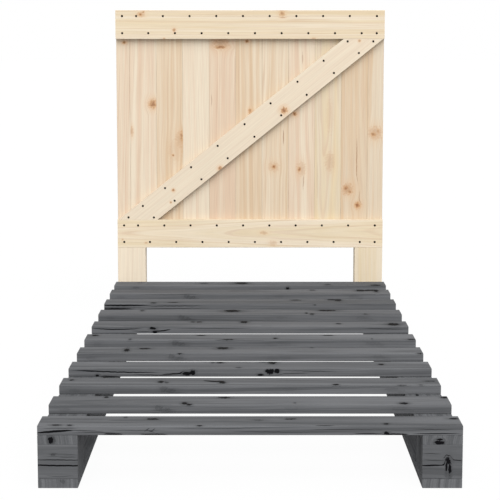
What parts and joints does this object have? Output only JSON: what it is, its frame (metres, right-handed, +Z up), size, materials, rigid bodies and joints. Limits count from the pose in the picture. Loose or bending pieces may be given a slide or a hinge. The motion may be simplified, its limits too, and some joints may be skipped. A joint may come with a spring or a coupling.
{
  "type": "bed frame",
  "caption": "Single bed frame: slatted deck on two open side beams of runner, blocks and stringer, with a boarded headboard with rails and a diagonal brace on two legs.",
  "frame": {"origin": "on the floor, under the centre of the frame's overall box", "axes": "+X right seen from the foot end, +Y towards the headboard, +Z up"},
  "size_m": [0.9, 1.9674, 1.04],
  "materials": {
    "grey_stained_pine": "planed pine, grey stain, matt",
    "clear_pine": "planed solid pine, untreated, fine sanded",
    "black_nails": "black oxide, satin",
    "zinc_steel": "zinc plated"
  },
  "bodies": {
    "root": {"beam_screws": "zinc_steel", "bottom_rail": "clear_pine", "bottom_rail_nails": "black_nails", "brace_nails": "black_nails", "coach_screws": "zinc_steel", "coach_washers": "zinc_steel", "diagonal_brace": "clear_pine", "headboard_screws": "zinc_steel", "left_front_block": "grey_stained_pine", "left_leg_front": "clear_pine", "left_middle_block": "grey_stained_pine", "left_rear_block": "grey_stained_pine", "left_rear_stile": "clear_pine", "left_runner": "grey_stained_pine", "left_stringer": "grey_stained_pine", "panel_board_01": "clear_pine", "panel_board_02": "clear_pine", "panel_board_03": "clear_pine", "panel_board_04": "clear_pine", "panel_board_05": "clear_pine", "panel_board_06": "clear_pine", "panel_board_07": "clear_pine", "panel_board_08": "clear_pine", "panel_board_09": "clear_pine", "panel_board_10": "clear_pine", "panel_board_11": "clear_pine", "right_front_block": "grey_stained_pine", "right_leg_front": "clear_pine", "right_middle_block": "grey_stained_pine", "right_rear_block": "grey_stained_pine", "right_rear_stile": "clear_pine", "right_runner": "grey_stained_pine", "right_stringer": "grey_stained_pine", "slat_01": "grey_stained_pine", "slat_02": "grey_stained_pine", "slat_03": "grey_stained_pine", "slat_04": "grey_stained_pine", "slat_05": "grey_stained_pine", "slat_06": "grey_stained_pine", "slat_07": "grey_stained_pine", "slat_08": "grey_stained_pine", "slat_09": "grey_stained_pine", "slat_10": "grey_stained_pine", "slat_11": "grey_stained_pine", "slat_screws": "zinc_steel", "top_rail": "clear_pine", "top_rail_nails": "black_nails"}
  },
  "joints": []
}
